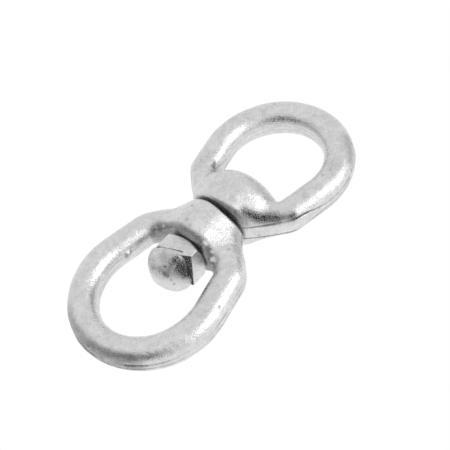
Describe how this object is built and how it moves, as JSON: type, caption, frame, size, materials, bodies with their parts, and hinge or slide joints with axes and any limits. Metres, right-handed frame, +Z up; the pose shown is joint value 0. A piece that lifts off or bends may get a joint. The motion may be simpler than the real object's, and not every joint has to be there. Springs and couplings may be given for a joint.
{
  "type": "anchor swivel",
  "caption": "Forged galvanised eye-and-eye swivel: a bored eye and a shank eye turn freely on one axis, held by a square nut peened over.",
  "frame": {"origin": "on the swivel axis, at the middle of the overall length", "axes": "+X along the swivel axis towards the shank eye's crown, +Z up and normal to the plane of both eyes at rest"},
  "size_m": [0.11, 0.0504, 0.022],
  "materials": {
    "galvanised_body": "hot-dip galvanised forging, semi-bright with spangle and runs",
    "galvanised_shank": "hot-dip galvanised forging, semi-bright, peened dome darker",
    "galvanised_nut": "hot-dip galvanised, smoother flats"
  },
  "bodies": {
    "bored_eye": {"body_eye": "galvanised_body"},
    "turning_eye": {"shank_eye": "galvanised_shank", "square_nut": "galvanised_nut"}
  },
  "joints": [
    {"name": "swivel", "type": "hinge", "parent": "bored_eye", "child": "turning_eye", "pos_m": [0, 0, 0], "axis": [1, 0, 0], "continuous": true}
  ]
}
